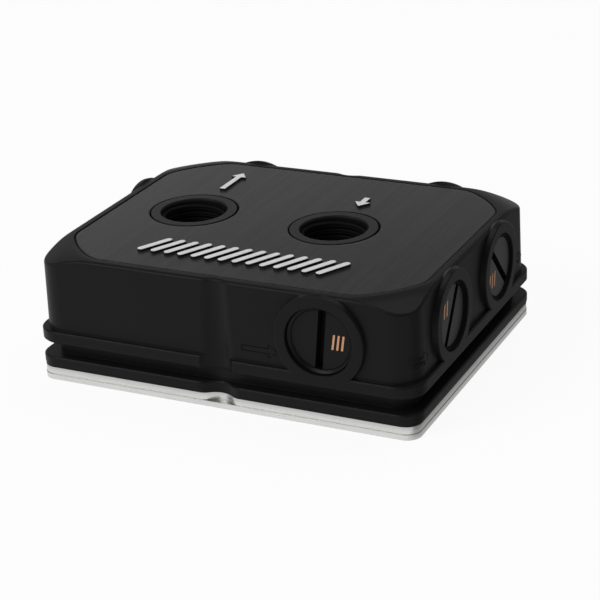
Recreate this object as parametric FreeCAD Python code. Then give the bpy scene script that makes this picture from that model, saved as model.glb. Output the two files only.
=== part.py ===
import FreeCAD, Part

# Liquid cooling cold plate: a moulded housing screwed on to a nickelled copper base.
# Millimetres. The origin is the middle of the base's underside, +X runs along the front,
# +Y to the back and +Z up.

import math
import os

from FreeCAD import Rotation, Vector

os.makedirs("parts", exist_ok=True)

# Base plate
base_length = 78.2
base_width = 61.8
base_thickness = 2.6
base_corner_radius = 2.8
base_step_height = 1.1
base_step_inset = 0.08
fin_end_room = 5.0
fin_side_room = 3.8
fin_height = 3.0
fin_thickness = 0.45
fin_pitch = 1.0

# Housing, from the bottom up; each rim is given by how far it stands out past the base
lip_height = 0.7
lip_overhang = 0.05
lip_corner_radius = 3.2
lower_flange_height = 1.6
lower_flange_overhang = 0.3
lower_flange_corner_radius = 3.9
bracket_groove_height = 3.05
bracket_groove_depth = 2.6
bracket_groove_corner_radius = 3.5
upper_flange_height = 2.4
upper_flange_overhang = 0.5
upper_flange_corner_radius = 4.9
flange_edge_chamfer = 0.25
wall_foot_inset = 0.85
wall_height = 15.05
wall_corner_radius = 5.2
wall_draft_degrees = 1.2

# Inset cover plate, which lies a little to one corner of its pocket, and the rim that falls away
# from it: each rim step is a way out from the pocket's edge and the fall reached there
cover_side_margin = 2.0
cover_thickness = 1.0
cover_gap = 0.25
cover_corner_small_radius = 6.0
cover_corner_large_radius = 25.0
cover_corner_small_turn = 33.0
rim_steps = [(0.3, 0.0), (2.0, 0.14), (4.2, 0.8), (8.3, 2.6)]
rim_edge_radius = 0.65
cover_edge_chamfer = 0.05
cover_shift_x = 0.12
cover_shift_y = -0.12

# Raised marks on the cover: a row of slanted bars in front, and a flow arrow behind each port
mark_height = 0.4
bar_count = 14
bar_width = 1.35
bar_length = 7.6
bar_slant_degrees = 28.0
bar_spacing = 2.85
bar_row_y = -18.65
arrow_width = 3.3
arrow_stem_width = 1.2
arrow_head_length = 2.3
inlet_arrow_tip_y = 12.2
inlet_arrow_tail_y = 17.0
outlet_arrow_tip_y = 22.5
outlet_arrow_tail_y = 12.8

# Middle scallops down the front and the back, sharp in the upper flange and soft elsewhere
scallop_radius = 4.2
scallop_depth = 1.8
scallop_edge_radius = 2.8

# Threaded ports
thread_radius = 6.58
drill_radius = 5.6
thread_depth = 8.5
top_mouth_flare = 0.17
top_mouth_depth = 0.5
top_ring_radius = 8.52
top_ring_gap = 0.35
inlet_x = 9.85
outlet_x = -20.65
top_port_y = 0.7
long_side_port_margin = 18.7
short_side_port_margin = 19.1
side_port_height = 16.8
side_port_depth = 9.0
side_mouth_flare = 0.12
side_mouth_depth = 0.12
boss_face_radius = 8.75
boss_root_radius = 9.0
boss_inner_radius = 8.1
boss_taper_length = 1.5
boss_edge_radius = 0.25

# Water ways
cavity_corner_radius = 4.0
gallery_radius = 4.0
cross_way_radius = 3.6
outlet_bore_floor = 12.5
plenum_end_room = 1.0
plenum_width = 8.0
plenum_height = 2.5
return_slot_end_room = 5.0
return_slot_width = 3.2
return_slot_top = 15.0
return_mouth_floor = 11.5

# Jet plate between the fins and the housing
jet_plate_overhang = 0.5
jet_plate_thickness = 1.5
jet_slot_end_room = 3.0
jet_slot_width = 1.4
jet_fit_clearance = 0.1
jet_corner_radius = 3.6

# Main gasket
gasket_wall = 1.6
gasket_groove_width = 2.2
gasket_groove_depth = 1.5
gasket_side_clearance = 0.12
gasket_edge_chamfer = 0.35
gasket_to_screw_wall = 0.8

# Base screws
screw_radius = 1.25
screw_length = 6.8
screw_head_radius = 2.35
screw_head_height = 1.35
screw_head_sink = 0.15
screw_edge_margin = 3.1
screw_mid_x = 13.0
screw_hole_clearance = 0.05
screw_base_clearance = 0.2
screw_blind_spare = 0.8
screw_socket_radius = 0.85
screw_socket_depth = 0.9

# Side port plugs
plug_clearance = 0.08
plug_thread_length = 4.6
plug_nose_radius = 4.8
plug_nose_length = 1.75
plug_rim_width = 0.1
plug_dish_width = 0.6
plug_dish_depth = 0.5
plug_slot_width = 1.5
plug_slot_depth = 2.0
plug_seal_clearance = 0.02
plug_seal_height = 1.7
plug_seal_chamfer = 0.4

# Working values that follow from the sizes above
UP = Vector(0, 0, 1)
RIGHT_ANGLE = 90.0
SPARE = 1.0
TOUCHING = 0.001
ROUND_END_TRIM = 0.01
HEXAGON_SIDES = 6
lip_bottom = base_thickness
lower_flange_bottom = lip_bottom + lip_height
groove_bottom = lower_flange_bottom + lower_flange_height
upper_flange_bottom = groove_bottom + bracket_groove_height
wall_bottom = upper_flange_bottom + upper_flange_height
top_height = wall_bottom + wall_height
fin_top = base_thickness + fin_height
cavity_ceiling = fin_top + jet_plate_thickness
upper_flange_length = base_length + 2 * upper_flange_overhang
upper_flange_width = base_width + 2 * upper_flange_overhang
core_length = upper_flange_length - 2 * bracket_groove_depth
core_width = upper_flange_width - 2 * bracket_groove_depth
wall_foot_length = upper_flange_length - 2 * wall_foot_inset
wall_foot_width = upper_flange_width - 2 * wall_foot_inset
wall_fall = math.tan(math.radians(wall_draft_degrees))
wall_top_length = wall_foot_length - 2 * wall_height * wall_fall
wall_top_width = wall_foot_width - 2 * wall_height * wall_fall
recess_length = wall_top_length - 2 * (cover_side_margin - cover_gap)
recess_width = wall_top_width - 2 * (cover_side_margin - cover_gap)
recess_floor = top_height - cover_thickness
screw_x = core_length / 2 - screw_edge_margin
screw_y = core_width / 2 - screw_edge_margin
seal_strip = gasket_wall + gasket_groove_width + gasket_to_screw_wall
screw_to_cavity = screw_radius + screw_hole_clearance + seal_strip
cavity_length = 2 * (screw_x - screw_to_cavity)
cavity_width = 2 * (screw_y - screw_to_cavity)
fin_field_length = cavity_length - 2 * fin_end_room
fin_field_width = cavity_width - 2 * fin_side_room
jet_plate_length = cavity_length - 2 * jet_fit_clearance
jet_plate_width = fin_field_width + 2 * jet_plate_overhang
jet_slot_length = fin_field_length - 2 * jet_slot_end_room
plenum_length = jet_slot_length + 2 * plenum_end_room
return_slot_length = fin_field_length - 2 * return_slot_end_room
side_port_x = upper_flange_length / 2 - long_side_port_margin
side_port_y = upper_flange_width / 2 - short_side_port_margin
plug_radius = thread_radius - plug_clearance
plug_dish_radius = plug_radius - plug_rim_width
plug_face_radius = plug_dish_radius - plug_dish_width

# The side ports: name, side, place along the side, how deep the plug's face sits, its slot's turn
side_ports = [
    ("front", "front", side_port_x, 1.25, 84.0),
    ("right_front", "right", -side_port_y, 0.8, 58.0),
    ("right_rear", "right", side_port_y, 0.6, 132.0),
    ("back_right", "back", -side_port_x, 0.8, 70.0),
    ("back_left", "back", side_port_x, 1.1, 24.0),
    ("left_rear", "left", -side_port_y, 0.9, 105.0),
]

# For each side, the way to the right as one faces it, the way out, and its face's distance
sides = {
    "front": (Vector(1, 0, 0), Vector(0, -1, 0), upper_flange_width / 2),
    "right": (Vector(0, 1, 0), Vector(1, 0, 0), upper_flange_length / 2),
    "back": (Vector(-1, 0, 0), Vector(0, 1, 0), upper_flange_width / 2),
    "left": (Vector(0, -1, 0), Vector(-1, 0, 0), upper_flange_length / 2),
}


def outline(length, width, corner, z):
    """Closed outline with straight sides; corner lists the tangent arcs as (radius, turn in degrees)."""
    reach = 0.0
    turned = 0.0
    for radius, turn in corner:
        start, end = math.radians(turned), math.radians(turned + turn)
        reach += radius * (math.sin(end) - math.sin(start))
        turned += turn
    point = Vector(length / 2, width / 2 - reach, z)
    heading = RIGHT_ANGLE
    edges = []
    for side in (length, width, length, width):
        for radius, turn in corner:
            left = Rotation(UP, heading + RIGHT_ANGLE).multVec(Vector(radius, 0, 0))
            centre = point + left
            middle = centre + Rotation(UP, turn / 2).multVec(left * -1)
            end = centre + Rotation(UP, turn).multVec(left * -1)
            edges.append(Part.Arc(point, middle, end).toShape())
            point = end
            heading += turn
        end = point + Rotation(UP, heading).multVec(Vector(side - 2 * reach, 0, 0))
        edges.append(Part.LineSegment(point, end).toShape())
        point = end
    return Part.Wire(edges)


def round_corner(radius):
    return [(radius, RIGHT_ANGLE)]


def cover_corner(offset):
    """The cover's soft corner: a small arc, a flat large one and a small one, moved out by offset."""
    small = (cover_corner_small_radius + offset, cover_corner_small_turn)
    large = (cover_corner_large_radius + offset, RIGHT_ANGLE - 2 * cover_corner_small_turn)
    return [small, large, small]


def prism(wire, height):
    return Part.Face(wire).extrude(UP * height)


def slab(length, width, radius, bottom, height):
    return prism(outline(length, width, round_corner(radius), bottom), height)


def block(length, width, bottom, height, x=0.0, y=0.0):
    corner = Vector(x - length / 2, y - width / 2, bottom)
    return Part.makeBox(length, width, height, corner)


def edges_at(shape, z):
    """The edges of a shape that lie flat at one height."""
    found = []
    for edge in shape.Edges:
        box = edge.BoundBox
        if abs(box.ZMin - z) < TOUCHING and abs(box.ZMax - z) < TOUCHING:
            found.append(edge)
    return found


def on_side(side, across, depth):
    """A point on a side's face plane, or depth behind it, at the side ports' height."""
    right, out, distance = sides[side]
    return right * across + out * (distance - depth) + UP * side_port_height


def save(shape, name):
    shape = shape.removeSplitter()
    shape.exportStep(f"parts/{name}.step")
    print(f"{name}: solids {len(shape.Solids)}, valid {shape.isValid()}, volume {shape.Volume:.1f}")


def screw_places():
    places = []
    for x in (-screw_x, screw_x):
        for y in (-screw_y, 0.0, screw_y):
            places.append((x, y))
    for x in (-screw_mid_x, screw_mid_x):
        for y in (-screw_y, screw_y):
            places.append((x, y))
    return places


def scallops():
    """Upright half-round channels in the middle of the front and the back."""
    reach = upper_flange_width / 2 - scallop_depth + scallop_radius
    cutters = []
    for y in (-reach, reach):
        cutters.append(Part.makeCylinder(scallop_radius, top_height, Vector(0, y, base_step_height)))
    return cutters


def soft_scallops(shape):
    """Cuts the scallops into a slab or wall and rounds the upright edges they leave."""
    shape = shape.cut(scallops())
    upright = []
    for edge in shape.Edges:
        box = edge.BoundBox
        in_middle = max(abs(box.XMin), abs(box.XMax)) < scallop_radius
        if in_middle and box.ZLength > shape.BoundBox.ZLength / 2:
            upright.append(edge)
    return shape.makeFillet(scallop_edge_radius, upright)


def countersunk_hole():
    """Clearance hole for a base screw, from the underside up through the base."""
    radius = screw_radius + screw_base_clearance
    head_radius = screw_head_radius + screw_base_clearance
    hole = Part.makeCylinder(radius, base_thickness)
    sink = Part.makeCylinder(head_radius, screw_head_sink)
    cone = Part.makeCone(head_radius, radius, screw_head_height, Vector(0, 0, screw_head_sink))
    return hole.fuse([sink, cone])


def base_plate():
    """Copper plate in two tiers, with the fins that stand in the water."""
    lower = slab(base_length, base_width, base_corner_radius, 0, base_step_height)
    upper = slab(base_length - 2 * base_step_inset, base_width - 2 * base_step_inset,
                 base_corner_radius - base_step_inset, base_step_height,
                 base_thickness - base_step_height)
    upper = soft_scallops(upper)
    fins = []
    count = int(fin_field_length / fin_pitch)
    first = -(count - 1) * fin_pitch / 2
    for number in range(count):
        fins.append(block(fin_thickness, fin_field_width, base_thickness, fin_height,
                          x=first + number * fin_pitch))
    plate = lower.fuse([upper] + fins)
    cutter = countersunk_hole()
    holes = [cutter.translated(Vector(x, y, 0)) for x, y in screw_places()]
    return plate.cut(holes)


def base_screws():
    """Countersunk screws with hexagon sockets, from below into the housing."""
    shank = Part.makeCylinder(screw_radius, screw_length)
    head = Part.makeCone(screw_head_radius, screw_radius, screw_head_height)
    screw = shank.fuse(head)
    corners = []
    for number in range(HEXAGON_SIDES + 1):
        turn = Rotation(UP, number * 4 * RIGHT_ANGLE / HEXAGON_SIDES)
        corners.append(turn.multVec(Vector(screw_socket_radius, 0, 0)))
    screw = screw.cut(prism(Part.makePolygon(corners), screw_socket_depth)).removeSplitter()
    placed = [screw.translated(Vector(x, y, screw_head_sink)) for x, y in screw_places()]
    return Part.makeCompound(placed)


def cavity_ring(out):
    """Slab as deep as the gasket groove, larger than the cavity by out on every side."""
    return slab(cavity_length + 2 * out, cavity_width + 2 * out, cavity_corner_radius + out,
                base_thickness, gasket_groove_depth)


def main_gasket():
    """Cord seal between base and housing, as it lies squeezed in its groove."""
    margin = gasket_wall + gasket_side_clearance
    width = gasket_groove_width - 2 * gasket_side_clearance
    ring = cavity_ring(margin + width).cut(cavity_ring(margin))
    long_edges = edges_at(ring, base_thickness) + edges_at(ring, base_thickness + gasket_groove_depth)
    return ring.makeChamfer(gasket_edge_chamfer, long_edges)


def jet_plate():
    """Plate on the fins' tips that sends the water in through a middle slot."""
    plate = slab(jet_plate_length, jet_plate_width, jet_corner_radius, fin_top, jet_plate_thickness)
    slot_corner = jet_slot_width / 2 - ROUND_END_TRIM
    slot = slab(jet_slot_length, jet_slot_width, slot_corner, fin_top, jet_plate_thickness)
    plate = plate.cut(slot)
    funnel_length = jet_slot_length + jet_plate_thickness
    funnel_width = jet_slot_width + jet_plate_thickness
    funnel_corner = funnel_width / 2 - ROUND_END_TRIM
    narrow = outline(jet_slot_length, jet_slot_width, round_corner(slot_corner),
                     cavity_ceiling - jet_plate_thickness / 2)
    wide = outline(funnel_length, funnel_width, round_corner(funnel_corner), cavity_ceiling)
    return plate.cut(Part.makeLoft([narrow, wide], True, True))


def housing_wall():
    """Drafted wall with its scallops, and a top rim that falls away towards the corners."""
    rise = wall_bottom - upper_flange_height / 2
    spread = (wall_bottom - rise) * wall_fall
    foot = outline(wall_foot_length + 2 * spread, wall_foot_width + 2 * spread,
                   round_corner(wall_corner_radius + spread), rise)
    head = outline(wall_top_length, wall_top_width,
                   round_corner(wall_corner_radius - wall_height * wall_fall), top_height)
    wall = Part.makeLoft([foot, head], True, True)
    steps = []
    for out, fall in rim_steps:
        steps.append(outline(recess_length + 2 * out, recess_width + 2 * out,
                             cover_corner(cover_gap + out), top_height - fall))
    steps.reverse()
    keep = Part.makeLoft(steps, True, False)
    lowest = top_height - rim_steps[-1][1]
    keep = keep.fuse(prism(steps[0], rise - lowest))
    wall = soft_scallops(wall.common(keep).removeSplitter())
    rim = []
    for edge in wall.Edges:
        box = edge.BoundBox
        if box.ZMax < top_height - TOUCHING and box.ZMin > lowest:
            rim.append(edge)
    return wall.makeFillet(rim_edge_radius, rim)


def port_boss(side, across):
    """Round boss on a side: its flank widens to the wall and its crown slopes in to the rim."""
    out = sides[side][1]
    flank = wall_foot_inset + (side_port_height - wall_bottom) * wall_fall
    face = Part.makeCone(boss_face_radius, boss_root_radius, flank, on_side(side, across, 0), out * -1)
    face_round = 2 * math.pi * boss_face_radius
    face_edge = [edge for edge in face.Edges if abs(edge.Length - face_round) < TOUCHING]
    face = face.makeFillet(boss_edge_radius, face_edge)
    crown = Part.makeCone(boss_root_radius, boss_inner_radius, boss_taper_length,
                          on_side(side, across, flank), out * -1)
    above_flange = block(2 * base_length, 2 * base_width, wall_bottom - flange_edge_chamfer,
                         2 * wall_height)
    return face.fuse(crown).common(above_flange)


def port_hole(place, inward, depth, mouth_flare, mouth_depth):
    """Threaded hole at its major diameter, with a mouth that widens by mouth_flare all round."""
    hole = Part.makeCylinder(thread_radius, depth, place, inward)
    mouth = Part.makeCone(thread_radius + mouth_flare, thread_radius, mouth_depth, place, inward)
    return hole.fuse(mouth)


def side_water_ways():
    """Threaded side ports and the drilled ways from them to the two galleries."""
    cutters = []
    for _, side, across, _, _ in side_ports:
        inward = sides[side][1] * -1
        mouth = on_side(side, across, 0)
        cutters.append(port_hole(mouth, inward, side_port_depth, side_mouth_flare, side_mouth_depth))
        if side in ("front", "back"):
            way = sides[side][2] - side_port_y
            cutters.append(Part.makeCylinder(cross_way_radius, way, mouth, inward))
    along = Vector(1, 0, 0)
    gallery_end = upper_flange_length / 2 - side_port_depth + SPARE
    for start_x, y in ((outlet_x, -side_port_y), (-gallery_end, side_port_y)):
        start = Vector(start_x, y, side_port_height)
        cutters.append(Part.makeCylinder(gallery_radius, gallery_end - start_x, start, along))
    return cutters


def top_water_ways():
    """The two threaded top ports, down to the plenum and across to their galleries."""
    cutters = []
    down = UP * -1
    inlet_bore_floor = cavity_ceiling + plenum_height - SPARE
    for x, floor, toward in ((inlet_x, inlet_bore_floor, 1), (outlet_x, outlet_bore_floor, -1)):
        mouth = Vector(x, top_port_y, top_height)
        cutters.append(port_hole(mouth, down, thread_depth, top_mouth_flare, top_mouth_depth))
        cutters.append(Part.makeCylinder(drill_radius, top_height - floor, mouth, down))
        across = Vector(x, top_port_y, side_port_height)
        length = side_port_y - toward * top_port_y
        cutters.append(Part.makeCylinder(cross_way_radius, length, across, Vector(0, toward, 0)))
    return cutters


def cavity_cutters():
    """The space for fins and jet plate, the inlet plenum above it and the return slot."""
    cavity = slab(cavity_length, cavity_width, cavity_corner_radius, base_thickness,
                  cavity_ceiling - base_thickness)
    plenum_corner = plenum_width / 2 - ROUND_END_TRIM
    plenum = slab(plenum_length, plenum_width, plenum_corner, cavity_ceiling, plenum_height)
    slot_y = -cavity_width / 2 + return_slot_width / 2
    slot = block(return_slot_length, return_slot_width, cavity_ceiling - SPARE,
                 return_slot_top - cavity_ceiling + SPARE, y=slot_y)
    mouth_width = cavity_width / 2 - side_port_y
    mouth = block(return_slot_length, mouth_width, return_mouth_floor,
                  return_slot_top - return_mouth_floor, y=-cavity_width / 2 + mouth_width / 2)
    return [cavity, plenum, slot, mouth]


def gasket_groove():
    return cavity_ring(gasket_wall + gasket_groove_width).cut(cavity_ring(gasket_wall))


def cover_recess():
    """Pocket for the cover, which leaves the two port rings standing."""
    pocket = prism(outline(recess_length, recess_width, cover_corner(cover_gap), recess_floor),
                   cover_thickness)
    rings = []
    for x in (inlet_x, outlet_x):
        place = Vector(x, top_port_y, recess_floor)
        rings.append(Part.makeCylinder(top_ring_radius, cover_thickness, place))
    return pocket.cut(rings)


def housing():
    """Moulded body with the bracket groove, the rims, the bosses and all water ways."""
    lip = soft_scallops(slab(base_length + 2 * lip_overhang, base_width + 2 * lip_overhang,
                             lip_corner_radius, lip_bottom, lip_height))
    lower = soft_scallops(slab(base_length + 2 * lower_flange_overhang,
                               base_width + 2 * lower_flange_overhang,
                               lower_flange_corner_radius, lower_flange_bottom,
                               lower_flange_height))
    lower = lower.makeChamfer(flange_edge_chamfer, edges_at(lower, groove_bottom))
    core = slab(core_length, core_width, bracket_groove_corner_radius, groove_bottom,
                bracket_groove_height)
    upper = slab(upper_flange_length, upper_flange_width, upper_flange_corner_radius,
                 upper_flange_bottom, upper_flange_height)
    rims = edges_at(upper, wall_bottom) + edges_at(upper, upper_flange_bottom)
    upper = upper.makeChamfer(flange_edge_chamfer, rims).cut(scallops())
    bosses = [port_boss(side, across) for _, side, across, _, _ in side_ports]
    body = lip.fuse([lower, core, upper, housing_wall()])
    body = body.cut(cover_recess())
    body = body.fuse(bosses)
    body = body.cut(side_water_ways() + top_water_ways() + cavity_cutters() + [gasket_groove()])
    blind = Part.makeCylinder(screw_radius + screw_hole_clearance,
                              screw_head_sink + screw_length + screw_blind_spare)
    return body.cut([blind.translated(Vector(x, y, 0)) for x, y in screw_places()])


def slanted_bars():
    """Row of plain raised bars with round ends, in front of the ports."""
    bar = slab(bar_width, bar_length, bar_width / 2 - ROUND_END_TRIM, top_height, mark_height)
    bar.rotate(Vector(0, 0, 0), UP, -bar_slant_degrees)
    bars = []
    for number in range(bar_count):
        x = (number - (bar_count - 1) / 2) * bar_spacing
        bars.append(bar.translated(Vector(x, bar_row_y, 0)))
    return bars


def flow_arrow(x, tip_y, tail_y):
    """Raised arrow along Y that shows which way the water goes through the port in front of it."""
    toward = math.copysign(1, tip_y - tail_y)
    neck_y = tip_y - toward * arrow_head_length
    half_stem = arrow_stem_width / 2
    half_head = arrow_width / 2
    across_and_along = [(-half_stem, tail_y), (half_stem, tail_y), (half_stem, neck_y),
                        (half_head, neck_y), (0.0, tip_y), (-half_head, neck_y),
                        (-half_stem, neck_y), (-half_stem, tail_y)]
    corners = [Vector(x + across, along, top_height) for across, along in across_and_along]
    return prism(Part.makePolygon(corners), mark_height)


def top_plate():
    """Brushed cover, flush in its pocket, with raised marks and a hole round each port ring."""
    wire = outline(recess_length - 2 * cover_gap, recess_width - 2 * cover_gap,
                   cover_corner(0.0), recess_floor)
    plate = prism(wire, cover_thickness)
    plate = plate.makeChamfer(cover_edge_chamfer, edges_at(plate, top_height))
    holes = []
    for x in (inlet_x, outlet_x):
        place = Vector(x, top_port_y, recess_floor)
        holes.append(Part.makeCylinder(top_ring_radius + top_ring_gap, cover_thickness, place))
    plate = plate.cut(holes).translated(Vector(cover_shift_x, cover_shift_y, 0))
    arrows = [flow_arrow(inlet_x, inlet_arrow_tip_y, inlet_arrow_tail_y),
              flow_arrow(outlet_x, outlet_arrow_tip_y, outlet_arrow_tail_y)]
    return plate.fuse(slanted_bars() + arrows)


def plug(side, across, recess, slot_turn):
    """Screw plug with a driver slot in its dished face, made upright and turned into its port."""
    body = Part.makeCylinder(plug_radius, plug_thread_length + plug_dish_depth,
                             Vector(0, 0, -plug_thread_length))
    dish = Part.makeCone(plug_face_radius, plug_dish_radius, plug_dish_depth)
    nose = Part.makeCylinder(plug_nose_radius, plug_nose_length,
                             Vector(0, 0, -plug_thread_length - plug_nose_length))
    slot = block(2 * thread_radius, plug_slot_width, -plug_slot_depth, plug_slot_depth)
    slot.rotate(Vector(0, 0, 0), UP, slot_turn)
    slot = slot.common(Part.makeCylinder(plug_face_radius, plug_slot_depth,
                                         Vector(0, 0, -plug_slot_depth)))
    return seat(body.fuse(nose).cut([dish, slot]), side, across, recess)


def plug_seal(side, across, recess):
    """Ring on the plug's nose, squeezed flat against the port's wall."""
    bottom = Vector(0, 0, -plug_thread_length - plug_seal_height)
    ring = Part.makeCylinder(thread_radius - plug_seal_clearance, plug_seal_height, bottom)
    ring = ring.cut(Part.makeCylinder(plug_nose_radius + plug_seal_clearance, plug_seal_height, bottom))
    rims = edges_at(ring, -plug_thread_length) + edges_at(ring, bottom.z)
    return seat(ring.makeChamfer(plug_seal_chamfer, rims), side, across, recess)


def seat(shape, side, across, recess):
    """Turns an upright part so that it faces out of a side port, recess below its face."""
    right, out, _ = sides[side]
    shape = shape.copy()
    shape.Placement = FreeCAD.Placement(on_side(side, across, recess), Rotation(right, UP, out, "ZYX"))
    return shape


save(base_plate(), "base_plate")
save(base_screws(), "base_screws")
save(main_gasket(), "main_gasket")
save(jet_plate(), "jet_plate")
save(housing(), "housing")
save(top_plate(), "top_plate")
for name, side, across, recess, slot_turn in side_ports:
    save(plug(side, across, recess, slot_turn), f"plug_{name}")
    save(plug_seal(side, across, recess), f"plug_seal_{name}")
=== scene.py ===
import math

import bmesh
import bpy
from mathutils import Matrix, Vector


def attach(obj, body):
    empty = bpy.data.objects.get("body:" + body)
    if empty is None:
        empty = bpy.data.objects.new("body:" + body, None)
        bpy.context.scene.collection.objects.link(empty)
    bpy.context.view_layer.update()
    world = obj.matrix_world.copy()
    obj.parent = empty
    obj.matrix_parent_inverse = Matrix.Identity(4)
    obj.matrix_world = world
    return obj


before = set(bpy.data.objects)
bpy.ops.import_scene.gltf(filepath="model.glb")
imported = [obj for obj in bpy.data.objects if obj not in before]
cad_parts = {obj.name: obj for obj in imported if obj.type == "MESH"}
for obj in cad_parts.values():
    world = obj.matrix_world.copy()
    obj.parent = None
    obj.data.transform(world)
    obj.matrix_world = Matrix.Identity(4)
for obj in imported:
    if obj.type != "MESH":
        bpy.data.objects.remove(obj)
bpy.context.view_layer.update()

# Liquid cooling cold plate: finishes for the CAD nodes, the threads of the two top ports, the
# marks on plugs and walls, and a plain white studio. Metres, +X along the front, +Z up.

MM = 0.001

# Sizes shared with the construction
COVER_TOP = 25.4
MARK_TOP = 25.8
INLET = (9.85, 0.7)
OUTLET = (-20.65, 0.7)
LEDGE = 1.1
FRONT_FACE = 31.4
RIGHT_FACE = 39.6
WALL_FOOT = 10.35
WALL_INSET = 0.85
WALL_FALL = math.tan(math.radians(1.2))
SIDE_PORT_HEIGHT = 16.8
LONG_SIDE_PORT = 20.9
SHORT_SIDE_PORT = 12.3
PLUG_FACE = 5.8
PLUG_DISH = 6.4
PLUG_RECESS = {"front": 1.25, "right_front": 0.8, "right_rear": 0.6, "back_right": 0.8,
               "back_left": 1.1, "left_rear": 0.9}
MOUTH_FLARE = 0.17
MOUTH_DEPTH = 0.5

# Rings round the top ports, lightened by a painted sheen: a box that holds them both, and how far down it
# reaches
RINGS_HALF_LENGTH = 31.0
RINGS_HALF_WIDTH = 10.0
RINGS_REACH = 0.3

# Thread of the top ports: its radii and pitch, and the turns between which its ridge winds down
THREAD_MAJOR = 6.58
THREAD_MINOR = 5.8
THREAD_PITCH = 1.337
THREAD_ROOT_FILL = 0.64
THREAD_LINE_DEPTH = 0.05
THREAD_FIRST = 25.9
THREAD_START_TURN = 0.92
THREAD_END_TURN = 4.6
THREAD_STEPS = 72
THREAD_RUNOUT_STEPS = 14
THREAD_LEAST = 0.04
THREAD_TOP_GAP = 0.1

# Profile of its ridge: what each point lies on, and how many pitches up it is from the middle
THREAD_PROFILE = (("wall", 0.5), ("root", 0.44), ("crest", 0.3), ("crest", 0.09), ("line", 0.03),
                  ("line", -0.03), ("crest", -0.09), ("crest", -0.3), ("root", -0.44),
                  ("wall", -0.5))

# Arrows drawn on the walls, with the head and the stem as shares of their width
ARROW_LINE = 0.17
ARROW_HEAD = 0.75
ARROW_STEM = 0.2
ARROW_WING_INSET = 1.4
ARROW_TIP_INSET = 1.8
ARROW_SUNK = 0.05
ARROW_PROUD = 0.02

# Strokes printed on the plugs
STROKE_WIDTH = 0.4
STROKE_LEAN = 0.22
STROKE_HALF_HEIGHT = 1.45
STROKE_THICKNESS = 0.03

# Hair's breadth by which one face is set off from another
HAIR = 0.02

# Radii from which painted shade darkens a plug: at its rim alone, or over its whole dish
SHADE_RIM = PLUG_DISH - 2 * HAIR
SHADE_DISH = PLUG_FACE + 3 * HAIR

# Lamps, and the light of the room
ROOM_LIGHT = 0.42
KEY_POWER = 7.0
TOP_POWER = 3.7
BACK_POWER = 0.04

# The room in reflections, and the directions between which it changes upward and to the right
ROOM_MIRRORED = 1.0
ROOM_OVERHEAD = 0.08
ROOM_LOW = 0.4
ROOM_LEFT = 1.15
ROOM_RIGHT = 0.7
LOOKING_UP = (0.24, 0.45)
LOOKING_LOW = (-0.05, 0.22)
LOOKING_RIGHT = (-0.6, -0.15)

# Painted reflection of the floor: its glow, brighter in front and dimmer to the right as a painted shadow,
# and the places between which it changes, in millimetres
FLOOR_IN_FRONT = 0.9
FLOOR_AT_RIGHT = 0.31
FLOOR_FARTHER = 0.85
RIGHT_EDGE = (36.0, 42.0)
FARTHER_EDGE = (46.0, 62.0)
FRONT_EDGE = (-32.5, -31.0)
FLOOR_GLOW = 0.92
FLOOR_HALF = 6.0

# Camera as fitted to the plate's edges in the photograph
CAMERA_LENS = 109.408
CAMERA_PLACE = (0.14934, -0.29431, 0.15112)
CAMERA_RIGHT = (0.90216, 0.42893, -0.04618)
CAMERA_UP = (-0.13163, 0.37563, 0.91739)


# Node helpers

def put(tree, kind, **settings):
    """Adds a node; a setting that names a socket fills the socket."""
    made = tree.nodes.new(kind)
    for name, value in settings.items():
        if hasattr(made, name):
            setattr(made, name, value)
        else:
            made.inputs[name.replace("_", " ")].default_value = value
    return made


def math_node(tree, operation, first, second=None, clamp=False):
    """Math node fed by sockets or plain numbers."""
    made = put(tree, "ShaderNodeMath", operation=operation, use_clamp=clamp)
    for place, value in enumerate((first, second)):
        if value is None:
            continue
        if isinstance(value, (int, float)):
            made.inputs[place].default_value = value
        else:
            tree.links.new(value, made.inputs[place])
    return made.outputs[0]


def ramp(tree, value, ends, levels, smooth=False):
    """Goes from the first level to the second while the value goes from one end to the other."""
    made = put(tree, "ShaderNodeMapRange", From_Min=ends[0], From_Max=ends[1],
               To_Min=levels[0], To_Max=levels[1])
    if smooth:
        made.interpolation_type = "SMOOTHSTEP"
    tree.links.new(value, made.inputs["Value"])
    return made.outputs["Result"]


def coordinates(tree, kind="Object"):
    """X, Y and Z of a place on the object, or with Generated, of the direction looked in."""
    place = put(tree, "ShaderNodeTexCoord")
    split = put(tree, "ShaderNodeSeparateXYZ")
    tree.links.new(place.outputs[kind], split.inputs[0])
    return split.outputs["X"], split.outputs["Y"], split.outputs["Z"]


def dot_product(tree, first, second):
    """How far the first direction goes along the second."""
    made = put(tree, "ShaderNodeVectorMath", operation="DOT_PRODUCT")
    tree.links.new(first, made.inputs[0])
    tree.links.new(second, made.inputs[1])
    return made.outputs["Value"]


def mix_shaders(tree, share, first, second):
    """Shader that goes from the first to the second as the share goes from 0 to 1."""
    made = put(tree, "ShaderNodeMixShader")
    tree.links.new(share, made.inputs[0])
    tree.links.new(first.outputs[0], made.inputs[1])
    tree.links.new(second.outputs[0], made.inputs[2])
    return made


def effect(name, inputs, outputs):
    """Empty node group with named sockets; gives the tree, its input node and its output node."""
    tree = bpy.data.node_groups.new(name, "ShaderNodeTree")
    for label, kind, value in inputs:
        socket = tree.interface.new_socket(label, in_out="INPUT", socket_type=kind)
        socket.default_value = value
    for label, kind in outputs:
        tree.interface.new_socket(label, in_out="OUTPUT", socket_type=kind)
    return tree, tree.nodes.new("NodeGroupInput"), tree.nodes.new("NodeGroupOutput")


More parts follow.
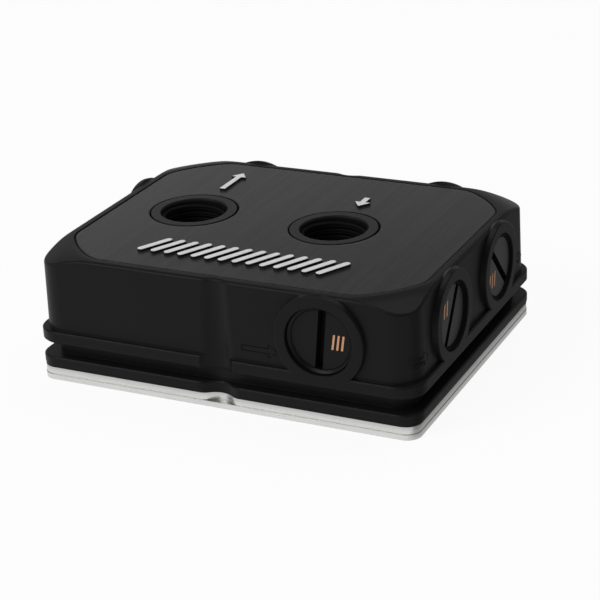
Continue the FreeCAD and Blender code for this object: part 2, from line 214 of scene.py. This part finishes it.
def make_grain():
    """Grain stretched along a direction, with a broad patchiness under it."""
    tree, given, result = effect(
        "grain",
        [("Stretch", "NodeSocketVector", (1.0, 1.0, 1.0)), ("Scale", "NodeSocketFloat", 1000.0),
         ("Patch Scale", "NodeSocketFloat", 60.0), ("Contrast", "NodeSocketFloat", 1.0)],
        [("Grain", "NodeSocketFloat"), ("Patch", "NodeSocketFloat")])
    place = put(tree, "ShaderNodeTexCoord")
    stretched = put(tree, "ShaderNodeVectorMath", operation="MULTIPLY")
    tree.links.new(place.outputs["Object"], stretched.inputs[0])
    tree.links.new(given.outputs["Stretch"], stretched.inputs[1])
    fine = put(tree, "ShaderNodeTexNoise", Detail=5.0, Roughness=0.62)
    tree.links.new(stretched.outputs[0], fine.inputs["Vector"])
    tree.links.new(given.outputs["Scale"], fine.inputs["Scale"])
    centred = math_node(tree, "SUBTRACT", fine.outputs["Fac"], 0.5)
    spread = math_node(tree, "MULTIPLY", centred, given.outputs["Contrast"])
    tree.links.new(math_node(tree, "ADD", spread, 0.5, clamp=True), result.inputs["Grain"])
    broad = put(tree, "ShaderNodeTexNoise", Detail=2.0, Roughness=0.5)
    tree.links.new(stretched.outputs[0], broad.inputs["Vector"])
    tree.links.new(given.outputs["Patch Scale"], broad.inputs["Scale"])
    tree.links.new(broad.outputs["Fac"], result.inputs["Patch"])
    return tree


def make_edges():
    """Softened edge normals, and a broken mask of wear along the edges."""
    tree, given, result = effect(
        "edges",
        [("Width", "NodeSocketFloat", 0.2 * MM), ("Wear Scale", "NodeSocketFloat", 400.0),
         ("Amount", "NodeSocketFloat", 1.0)],
        [("Wear", "NodeSocketFloat"), ("Edge", "NodeSocketFloat"), ("Soft Normal", "NodeSocketVector")])
    rounded = put(tree, "ShaderNodeBevel", samples=6)
    tree.links.new(given.outputs["Width"], rounded.inputs["Radius"])
    flat = put(tree, "ShaderNodeNewGeometry")
    along = dot_product(tree, rounded.outputs["Normal"], flat.outputs["Normal"])
    bent = math_node(tree, "SUBTRACT", 1.0, along)
    mask = math_node(tree, "MULTIPLY", bent, 6.0, clamp=True)
    tree.links.new(mask, result.inputs["Edge"])
    place = put(tree, "ShaderNodeTexCoord")
    patchy = put(tree, "ShaderNodeTexNoise", Detail=4.0, Roughness=0.6)
    tree.links.new(place.outputs["Object"], patchy.inputs["Vector"])
    tree.links.new(given.outputs["Wear Scale"], patchy.inputs["Scale"])
    broken = ramp(tree, patchy.outputs["Fac"], (0.42, 0.62), (0.0, 1.0))
    worn = math_node(tree, "MULTIPLY", mask, broken)
    tree.links.new(math_node(tree, "MULTIPLY", worn, given.outputs["Amount"]), result.inputs["Wear"])
    tree.links.new(rounded.outputs["Normal"], result.inputs["Soft Normal"])
    return tree


def make_plug_shade():
    """Mask of a plug's painted shade: on its rim, in the crease round its face and on the slot's walls."""
    tree, given, result = effect(
        "plug_shade",
        [("Out", "NodeSocketVector", (0.0, 1.0, 0.0)), ("Across", "NodeSocketVector", (1.0, 0.0, 0.0)),
         ("Face", "NodeSocketFloat", FRONT_FACE * MM), ("Middle", "NodeSocketFloat", 0.0),
         ("Dark From", "NodeSocketFloat", PLUG_DISH * MM)],
        [("Shade", "NodeSocketFloat")])
    place = put(tree, "ShaderNodeTexCoord")
    out = dot_product(tree, place.outputs["Object"], given.outputs["Out"])
    along = dot_product(tree, place.outputs["Object"], given.outputs["Across"])
    across = math_node(tree, "SUBTRACT", along, given.outputs["Middle"])
    up = math_node(tree, "SUBTRACT", coordinates(tree)[2], SIDE_PORT_HEIGHT * MM)
    squares = math_node(tree, "ADD", math_node(tree, "MULTIPLY", across, across),
                        math_node(tree, "MULTIPLY", up, up))
    radius = math_node(tree, "SQRT", squares)
    rim = math_node(tree, "GREATER_THAN", radius, given.outputs["Dark From"])
    off = math_node(tree, "ABSOLUTE", math_node(tree, "SUBTRACT", radius, PLUG_FACE * MM))
    crease = ramp(tree, off, (0.05 * MM, 0.15 * MM), (0.9, 0.0))
    below = math_node(tree, "LESS_THAN", math_node(tree, "ABSOLUTE", out), given.outputs["Face"])
    turned = put(tree, "ShaderNodeNewGeometry")
    facing = dot_product(tree, turned.outputs["True Normal"], given.outputs["Out"])
    sideways = math_node(tree, "LESS_THAN", math_node(tree, "ABSOLUTE", facing), 0.5)
    walls = math_node(tree, "MULTIPLY", below, sideways)
    lines = math_node(tree, "MAXIMUM", rim, crease)
    tree.links.new(math_node(tree, "MAXIMUM", lines, walls), result.inputs["Shade"])
    return tree


GRAIN = make_grain()
EDGES = make_edges()
PLUG_SHADE = make_plug_shade()


def blank(name):
    """New material with its shader; gives the material, its tree and the shader."""
    material = bpy.data.materials.new(name)
    material.use_nodes = True
    tree = material.node_tree
    return material, tree, tree.nodes["Principled BSDF"]


def use(tree, group, **values):
    """Places a node group, with its own values for the named sockets."""
    made = put(tree, "ShaderNodeGroup", node_tree=group)
    for name, value in values.items():
        made.inputs[name.replace("_", " ")].default_value = value
    return made


def blend_colour(tree, factor, first, second):
    """Colour mixed from two plain colours or sockets by a mask."""
    made = put(tree, "ShaderNodeMix", data_type="RGBA")
    tree.links.new(factor, made.inputs[0])
    for place, value in ((6, first), (7, second)):
        if isinstance(value, tuple):
            made.inputs[place].default_value = (*value, 1.0)
        else:
            tree.links.new(value, made.inputs[place])
    return made.outputs[2]


def spread_value(tree, factor, low, high):
    """Value between low and high by a mask."""
    return ramp(tree, factor, (0.0, 1.0), (low, high))


def bump(tree, shader, height, distance, soft):
    """Fine relief on top of the softened edges."""
    made = put(tree, "ShaderNodeBump", Distance=distance)
    tree.links.new(height, made.inputs["Height"])
    tree.links.new(soft, made.inputs["Normal"])
    tree.links.new(made.outputs["Normal"], shader.inputs["Normal"])


def sheen_ring_mask(tree):
    """Mask of the two flat rings that show round the top ports in the cover's holes, where a painted sheen
    lightens the housing.
    """
    x, y, z = coordinates(tree)
    high = math_node(tree, "GREATER_THAN", z, (COVER_TOP - RINGS_REACH) * MM)
    along = math_node(tree, "LESS_THAN", math_node(tree, "ABSOLUTE", x), RINGS_HALF_LENGTH * MM)
    across = math_node(tree, "LESS_THAN", math_node(tree, "ABSOLUTE", y), RINGS_HALF_WIDTH * MM)
    return math_node(tree, "MULTIPLY", high, math_node(tree, "MULTIPLY", along, across))


def moulded(name, dark, light, worn, roughness, specular, edge_width, plug=None, rings=None):
    """Black moulded or turned plastic: fine grain, faint patches, edges rubbed a little lighter.

    plug gives the plug_shade group its values for a plug's painted shade,
    and rings the lighter colour of the painted sheen on the top ports' rings."""
    material, tree, shader = blank(name)
    grain = use(tree, GRAIN, Scale=2600.0, Patch_Scale=70.0, Contrast=1.4)
    edges = use(tree, EDGES, Width=edge_width, Wear_Scale=900.0, Amount=0.5)
    body = blend_colour(tree, grain.outputs["Patch"], dark, light)
    body = blend_colour(tree, edges.outputs["Wear"], body, worn)
    rough = spread_value(tree, grain.outputs["Grain"], roughness - 0.05, roughness + 0.06)
    if plug is not None:
        # Painted shade: the plug's rim, the crease round its face and its slot's walls go nearly black.
        shade = use(tree, PLUG_SHADE, **plug).outputs["Shade"]
        body = blend_colour(tree, shade, body, (0.0012, 0.0012, 0.0012))
        rough = math_node(tree, "MAXIMUM", rough, shade)
    if rings is not None:
        # Painted sheen: the flat rings round the top ports are lighter than the rest of the same black
        # plastic.
        body = blend_colour(tree, sheen_ring_mask(tree), body, rings)
    tree.links.new(body, shader.inputs["Base Color"])
    tree.links.new(rough, shader.inputs["Roughness"])
    shader.inputs["Specular IOR Level"].default_value = specular
    bump(tree, shader, grain.outputs["Grain"], 0.006 * MM, edges.outputs["Soft Normal"])
    return material


def brushed(name, dark, light, worn, roughness, metallic, stretch, edge_width):
    """Brushed metal whose grain runs along the small numbers of stretch."""
    material, tree, shader = blank(name)
    grain = use(tree, GRAIN, Stretch=stretch, Scale=1.0, Patch_Scale=0.11, Contrast=2.4)
    edges = use(tree, EDGES, Width=edge_width, Wear_Scale=1200.0, Amount=0.6)
    both = math_node(tree, "MULTIPLY", grain.outputs["Grain"], 0.6)
    both = math_node(tree, "ADD", both, math_node(tree, "MULTIPLY", grain.outputs["Patch"], 0.4))
    body = blend_colour(tree, both, dark, light)
    tree.links.new(blend_colour(tree, edges.outputs["Wear"], body, worn), shader.inputs["Base Color"])
    tree.links.new(spread_value(tree, grain.outputs["Grain"], roughness - 0.07, roughness + 0.07),
                   shader.inputs["Roughness"])
    shader.inputs["Metallic"].default_value = metallic
    bump(tree, shader, grain.outputs["Grain"], 0.004 * MM, edges.outputs["Soft Normal"])
    return material


def plated(name, dark, light, worn, roughness, metallic, stretch, edge_width):
    """Nickel plating, with painted shade along the ledge between the base's two tiers and a painted shadow
    under the housing.
    """
    material = brushed(name, dark, light, worn, roughness, metallic, stretch, edge_width)
    tree = material.node_tree
    shader = tree.nodes["Principled BSDF"]
    body = shader.inputs["Base Color"].links[0].from_socket
    height = coordinates(tree)[2]
    # Painted shade: darker nickel along the ledge, and a painted shadow growing toward the top of the base,
    # under the housing.
    off = math_node(tree, "ABSOLUTE", math_node(tree, "SUBTRACT", height, LEDGE * MM))
    line = ramp(tree, off, (0.05 * MM, 0.12 * MM), (1.0, 0.0))
    under = ramp(tree, height, (1.6 * MM, 2.4 * MM), (0.0, 0.5))
    shaded_nickel = blend_colour(tree, math_node(tree, "MAXIMUM", line, under), body, (0.42, 0.417, 0.41))
    tree.links.new(shaded_nickel, shader.inputs["Base Color"])
    return material


def cover_finish():
    """Brushed black cover, with the raised marks milled bright on top and painted shade along its edges."""
    material, tree, shader = blank("brushed_cover")
    grain = use(tree, GRAIN, Stretch=(5200.0, 90.0, 90.0), Scale=1.0, Patch_Scale=0.09, Contrast=2.6)
    streaks = use(tree, GRAIN, Stretch=(1500.0, 22.0, 22.0), Scale=1.0, Patch_Scale=0.2, Contrast=2.8)
    edges = use(tree, EDGES, Width=0.55 * MM, Wear_Scale=1200.0, Amount=1.0)
    both = math_node(tree, "MULTIPLY", grain.outputs["Grain"], 0.3)
    both = math_node(tree, "ADD", both, math_node(tree, "MULTIPLY", grain.outputs["Patch"], 0.3))
    both = math_node(tree, "ADD", both, math_node(tree, "MULTIPLY", streaks.outputs["Grain"], 0.4))
    black = blend_colour(tree, both, (0.002, 0.002, 0.0023), (0.037, 0.037, 0.0378))
    # Painted shade: the cover's edges go nearly black, so that the gap round the cover and the marks' sides
    # read dark.
    black = blend_colour(tree, edges.outputs["Edge"], black, (0.003, 0.003, 0.003))
    silver = blend_colour(tree, both, (0.66, 0.66, 0.67), (0.84, 0.84, 0.85))
    height = coordinates(tree)[2]
    raised = math_node(tree, "GREATER_THAN", height, (MARK_TOP - 2 * HAIR) * MM)
    tree.links.new(blend_colour(tree, raised, black, silver), shader.inputs["Base Color"])
    metal = math_node(tree, "MULTIPLY", raised, -0.3)
    tree.links.new(math_node(tree, "ADD", metal, 0.35), shader.inputs["Metallic"])
    shader.inputs["Specular IOR Level"].default_value = 0.24
    rough = spread_value(tree, grain.outputs["Grain"], 0.26, 0.36)
    tree.links.new(math_node(tree, "MAXIMUM", rough, edges.outputs["Edge"]), shader.inputs["Roughness"])
    bump(tree, shader, grain.outputs["Grain"], 0.004 * MM, edges.outputs["Soft Normal"])
    return material


# The housing's rings colour is a painted sheen on the flat rings round the top ports.
housing_plastic = moulded("housing_black", (0.007, 0.007, 0.0074), (0.010, 0.010, 0.0104),
                          (0.016, 0.016, 0.0165), 0.4, 0.1, 0.22 * MM, rings=(0.018, 0.018, 0.0185))
# Painted shade: the threads are a darker copy of the housing's black with less shine, for the shade deep in
# the top ports.
shaded_thread_plastic = moulded("thread_black_shaded", (0.0055, 0.0055, 0.0057), (0.008, 0.008, 0.0082),
                         (0.008, 0.008, 0.0082), 0.6, 0.05, 0.05 * MM)
# Painted shade: a darker copy of the housing's black for the arrows' outlines, standing for the shade in a
# groove.
groove_shade_black = moulded("wall_groove_shade_black", (0.0042, 0.0042, 0.0043), (0.0058, 0.0058, 0.0059),
                     (0.006, 0.006, 0.006), 0.7, 0.04, 0.02 * MM)
seal_rubber = moulded("seal_rubber", (0.012, 0.012, 0.012), (0.02, 0.02, 0.02),
                      (0.03, 0.03, 0.03), 0.7, 0.2, 0.1 * MM)
nickel = plated("nickelled_copper", (0.58, 0.575, 0.565), (0.83, 0.825, 0.815), (0.74, 0.735, 0.725),
                 0.3, 0.9, (160.0, 160.0, 3800.0), 0.08 * MM)
steel = brushed("plain_steel", (0.3, 0.3, 0.31), (0.46, 0.46, 0.47), (0.6, 0.6, 0.61),
                0.35, 1.0, (900.0, 900.0, 3000.0), 0.08 * MM)
copper_ink = brushed("copper_ink", (0.55, 0.27, 0.13), (0.78, 0.42, 0.22), (0.8, 0.5, 0.3),
                     0.42, 0.35, (2400.0, 2400.0, 2400.0), 0.03 * MM)
cover_metal = cover_finish()


def paint(name, material):
    """Gives a node of the construction its finish."""
    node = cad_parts[name]
    node.data.materials.clear()
    node.data.materials.append(material)


paint("housing", housing_plastic)
paint("top_plate", cover_metal)
paint("base_plate", nickel)
paint("base_screws", steel)
paint("jet_plate", steel)
paint("main_gasket", seal_rubber)

# Each plug's axis, place along its side, radius from which painted shade darkens it, black and shine; the
# lighter black of the right side's plugs is painted light
PLUGS = {
    "front": ("Y", LONG_SIDE_PORT, SHADE_RIM, 0.006, 0.13),
    "right_front": ("X", -SHORT_SIDE_PORT, SHADE_DISH, 0.03, 0.2),
    "right_rear": ("X", SHORT_SIDE_PORT, SHADE_DISH, 0.03, 0.2),
    "back_right": ("Y", LONG_SIDE_PORT, SHADE_RIM, 0.006, 0.13),
    "back_left": ("Y", -LONG_SIDE_PORT, SHADE_RIM, 0.006, 0.13),
    "left_rear": ("X", SHORT_SIDE_PORT, SHADE_RIM, 0.006, 0.13)}
for place, (axis, middle, shade_from, black, shine) in PLUGS.items():
    side_face = FRONT_FACE if axis == "Y" else RIGHT_FACE
    along_x, along_y = (1.0, 0.0, 0.0), (0.0, 1.0, 0.0)
    plug = {"Out": along_y if axis == "Y" else along_x,
            "Across": along_x if axis == "Y" else along_y,
            "Face": (side_face - PLUG_RECESS[place] - HAIR) * MM,
            "Middle": middle * MM,
            "Dark_From": shade_from * MM}
    # Painted light: the right side's plugs get a lighter black than the same plugs elsewhere.
    dark, light, worn = [(black * k, black * k, black * k * 1.03) for k in (0.8, 1.1, 1.8)]
    finish = moulded("plug_black_" + place, dark, light, worn, 0.38, shine, 0.12 * MM, plug)
    paint("plug_" + place, finish)
    paint("plug_seal_" + place, seal_rubber)


# Pieces

def add_piece(name, mesh_builder, material):
    """Turns a bmesh in millimetres into a finished piece on the cold plate."""
    mesh = bpy.data.meshes.new(name)
    mesh_builder.transform(Matrix.Scale(MM, 4))
    mesh_builder.to_mesh(mesh)
    mesh_builder.free()
    piece = bpy.data.objects.new(name, mesh)
    bpy.context.scene.collection.objects.link(piece)
    mesh.materials.append(material)
    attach(piece, "root")
    return piece


def port_thread(name, x, y):
    """Ridge of a pipe thread that winds down a top port's wall, with a fine line in its crest."""
    shape = bmesh.new()
    steps = round((THREAD_END_TURN - THREAD_START_TURN) * THREAD_STEPS)
    highest = COVER_TOP - THREAD_TOP_GAP
    rings = []
    for step in range(steps + 1):
        turns = THREAD_START_TURN + step / THREAD_STEPS
        turn = 2 * math.pi * turns
        middle = THREAD_FIRST - THREAD_PITCH * turns
        to_an_end = min(step, steps - step) / THREAD_RUNOUT_STEPS
        grown = max(THREAD_LEAST, min(1.0, to_an_end))
        crest = THREAD_MAJOR - (THREAD_MAJOR - THREAD_MINOR) * grown
        depths = {"root": THREAD_MAJOR - THREAD_ROOT_FILL * grown, "crest": crest,
                  "line": crest + THREAD_LINE_DEPTH * grown}
        ring = []
        for lies_on, up in THREAD_PROFILE:
            z = min(middle + THREAD_PITCH * up, highest - HAIR * (0.5 - up))
            opened = max(0.0, z - COVER_TOP + MOUTH_DEPTH) / MOUTH_DEPTH
            wall = THREAD_MAJOR + MOUTH_FLARE * opened + HAIR
            radius = depths.get(lies_on, wall)
            ring.append(shape.verts.new((x + radius * math.cos(turn), y - radius * math.sin(turn), z)))
        rings.append(ring)
    count = len(THREAD_PROFILE)
    for first, second in zip(rings, rings[1:]):
        for side in range(count):
            following = (side + 1) % count
            shape.faces.new((first[side], first[following], second[following], second[side]))
    shape.faces.new(rings[0])
    shape.faces.new(list(reversed(rings[-1])))
    bmesh.ops.recalc_face_normals(shape, faces=shape.faces)
    piece = add_piece(name, shape, shaded_thread_plastic)
    piece.data.shade_smooth()
    return piece


port_thread("inlet_thread", *INLET)
port_thread("outlet_thread", *OUTLET)


def wall_arrow(name, side, start, end, height, width):
    """Arrow drawn on a wall as a fine dark line round its outline, from start to end; the line is painted
    shade, standing for the shade in a groove.
    """
    shape = bmesh.new()
    toward = math.copysign(1, end - start)
    layers = []
    for inset in (0.0, ARROW_LINE):
        neck = end - toward * width * ARROW_HEAD
        half = width / 2 - inset * ARROW_WING_INSET
        stem = width * ARROW_STEM - inset
        tail = start + toward * inset
        tip = end - toward * inset * ARROW_TIP_INSET
        wing = neck + toward * inset
        flat = [(tail, -stem), (wing, -stem), (wing, -half), (tip, 0.0), (wing, half), (wing, stem),
                (tail, stem)]
        for out in (-ARROW_SUNK, ARROW_PROUD):
            layer = []
            for along, up in flat:
                z = height + up
                sunk = WALL_INSET + (z - WALL_FOOT) * WALL_FALL - out
                if side == "front":
                    layer.append(shape.verts.new((along, -(FRONT_FACE - sunk), z)))
                else:
                    layer.append(shape.verts.new((RIGHT_FACE - sunk, along, z)))
            layers.append(layer)
    outer_low, outer_high, inner_low, inner_high = layers
    count = len(outer_low)
    for first, second in ((outer_low, outer_high), (outer_high, inner_high),
                          (inner_high, inner_low), (inner_low, outer_low)):
        for place in range(count):
            following = (place + 1) % count
            shape.faces.new((first[place], first[following], second[following], second[place]))
    bmesh.ops.recalc_face_normals(shape, faces=shape.faces)
    return add_piece(name, shape, groove_shade_black)


wall_arrow("front_wall_arrow", "front", 5.0, 12.6, 13.1, 2.9)
wall_arrow("right_wall_front_arrow", "right", -29.6, -23.4, 13.9, 2.8)
wall_arrow("right_wall_rear_arrow", "right", 21.6, 26.4, 13.9, 2.8)


def plug_strokes(name, place, across, height, spacing):
    """Three short copper-coloured strokes printed on a plug's face, clear of its slot."""
    shape = bmesh.new()
    half = STROKE_WIDTH / 2
    corners = ((-STROKE_LEAN - half, -STROKE_HALF_HEIGHT), (-STROKE_LEAN + half, -STROKE_HALF_HEIGHT),
               (STROKE_LEAN + half, STROKE_HALF_HEIGHT), (STROKE_LEAN - half, STROKE_HALF_HEIGHT))
    for number in (-1, 0, 1):
        layers = []
        for out in (0.0, STROKE_THICKNESS):
            layer = []
            for lean, up in corners:
                along = across + number * spacing + lean
                z = height + up
                if place == "front":
                    layer.append(shape.verts.new((along, -(FRONT_FACE - PLUG_RECESS[place] + out), z)))
                else:
                    layer.append(shape.verts.new((RIGHT_FACE - PLUG_RECESS[place] + out, along, z)))
            layers.append(layer)
        shape.faces.new(layers[0])
        shape.faces.new(list(reversed(layers[1])))
        for corner in range(4):
            following = (corner + 1) % 4
            shape.faces.new((layers[0][corner], layers[1][corner], layers[1][following],
                             layers[0][following]))
    bmesh.ops.recalc_face_normals(shape, faces=shape.faces)
    return add_piece(name, shape, copper_ink)


plug_strokes("front_plug_strokes", "front", 24.3, 16.7, 0.92)
plug_strokes("right_front_plug_strokes", "right_front", -15.7, 18.9, 1.3)
plug_strokes("right_rear_plug_strokes", "right_rear", 8.7, 15.2, 1.3)


# Studio

def floor_finish():
    """White to the camera, pale to the light, glowing by place in reflections as a painted reflection, and
    clear from below.
    """
    material = bpy.data.materials.new("floor_white")
    material.use_nodes = True
    tree = material.node_tree
    tree.nodes.clear()
    rays = put(tree, "ShaderNodeLightPath")
    lit = put(tree, "ShaderNodeBsdfDiffuse", Color=(0.86, 0.86, 0.86, 1.0))
    glow = put(tree, "ShaderNodeEmission", Strength=1.0)
    seen = math_node(tree, "MULTIPLY", rays.outputs["Is Camera Ray"], FLOOR_GLOW)
    direct = mix_shaders(tree, seen, lit, glow)
    x, y = coordinates(tree)[:2]
    right, far_right, front = [(MM * near, MM * far) for near, far in (RIGHT_EDGE, FARTHER_EDGE, FRONT_EDGE)]
    beside = ramp(tree, x, right, (FLOOR_IN_FRONT, FLOOR_AT_RIGHT), True)
    farther = ramp(tree, x, far_right, (1.0, FLOOR_FARTHER), True)
    ahead = ramp(tree, y, front, (FLOOR_IN_FRONT, 0.0), True)
    level = math_node(tree, "MAXIMUM", math_node(tree, "MULTIPLY", beside, farther), ahead)
    # Painted reflection: to glossy rays the floor glows brighter in front and dimmer to the right, a painted
    # shadow of the plate on the floor.
    sheen = put(tree, "ShaderNodeEmission")
    tree.links.new(level, sheen.inputs["Strength"])
    mirrored = math_node(tree, "MAXIMUM", rays.outputs["Is Glossy Ray"],
                         rays.outputs["Is Transmission Ray"])
    both = mix_shaders(tree, mirrored, direct, sheen)
    side = put(tree, "ShaderNodeNewGeometry")
    clear = put(tree, "ShaderNodeBsdfTransparent")
    whole = mix_shaders(tree, side.outputs["Backfacing"], both, clear)
    out = put(tree, "ShaderNodeOutputMaterial")
    tree.links.new(whole.outputs[0], out.inputs["Surface"])
    return material


def white_floor():
    """Wide floor that keeps the cold plate's shadow, a hair below its underside."""
    shape = bmesh.new()
    bmesh.ops.create_grid(shape, x_segments=8, y_segments=8, size=FLOOR_HALF)
    mesh = bpy.data.meshes.new("studio_floor")
    shape.to_mesh(mesh)
    shape.free()
    floor = bpy.data.objects.new("studio_floor", mesh)
    bpy.context.scene.collection.objects.link(floor)
    floor.location.z = -HAIR * MM
    mesh.materials.append(floor_finish())


def studio_world():
    """White to the camera; a plain grey room for the light and the reflections."""
    world = bpy.data.worlds.new("studio")
    world.use_nodes = True
    bpy.context.scene.world = world
    tree = world.node_tree
    tree.nodes.clear()
    rays = put(tree, "ShaderNodeLightPath")
    room = put(tree, "ShaderNodeBackground", Strength=ROOM_LIGHT)
    x, z = coordinates(tree, "Generated")[::2]
    overhead = ramp(tree, z, LOOKING_UP, (ROOM_MIRRORED, ROOM_MIRRORED * ROOM_OVERHEAD), True)
    sideways = ramp(tree, x, LOOKING_RIGHT, (ROOM_LEFT, ROOM_RIGHT))
    low_down = ramp(tree, z, LOOKING_LOW, (ROOM_LOW, 1.0))
    level = math_node(tree, "MULTIPLY", math_node(tree, "MULTIPLY", overhead, sideways), low_down)
    mirrored = put(tree, "ShaderNodeBackground")
    tree.links.new(level, mirrored.inputs["Strength"])
    white = put(tree, "ShaderNodeBackground", Strength=1.0)
    reflected = math_node(tree, "MAXIMUM", rays.outputs["Is Glossy Ray"],
                          rays.outputs["Is Transmission Ray"])
    inside = mix_shaders(tree, reflected, room, mirrored)
    both = mix_shaders(tree, rays.outputs["Is Camera Ray"], inside, white)
    out = put(tree, "ShaderNodeOutputWorld")
    tree.links.new(both.outputs[0], out.inputs["Surface"])


def soft_lamp(name, place, power, size):
    """Large square lamp aimed at the cold plate."""
    data = bpy.data.lights.new(name, "AREA")
    data.energy = power
    data.size = size
    lamp = bpy.data.objects.new(name, data)
    lamp.location = place
    aim = Vector((0.0, 0.0, 0.012)) - Vector(place)
    lamp.rotation_euler = aim.to_track_quat("-Z", "Y").to_euler()
    bpy.context.scene.collection.objects.link(lamp)
    return lamp


def photo_camera():
    """Camera at the photograph's angle, as fitted to the plate's edges."""
    data = bpy.data.cameras.new("photo_camera")
    data.sensor_width = 36.0
    data.lens = CAMERA_LENS
    data.clip_start = 0.01
    data.clip_end = 50.0
    camera = bpy.data.objects.new("photo_camera", data)
    right = Vector(CAMERA_RIGHT)
    up = Vector(CAMERA_UP)
    back = right.cross(up)
    turn = Matrix((right, up, back)).transposed().to_4x4()
    camera.matrix_world = Matrix.Translation(CAMERA_PLACE) @ turn
    bpy.context.scene.collection.objects.link(camera)
    bpy.context.scene.camera = camera


white_floor()
studio_world()
soft_lamp("key_lamp", (-0.55, -0.75, 0.85), KEY_POWER, 0.7)
soft_lamp("top_lamp", (0.1, 0.35, 1.1), TOP_POWER, 0.8)
soft_lamp("back_lamp", (-0.5, 0.45, 0.35), BACK_POWER, 0.4)
photo_camera()
bpy.context.scene.view_settings.view_transform = "Standard"
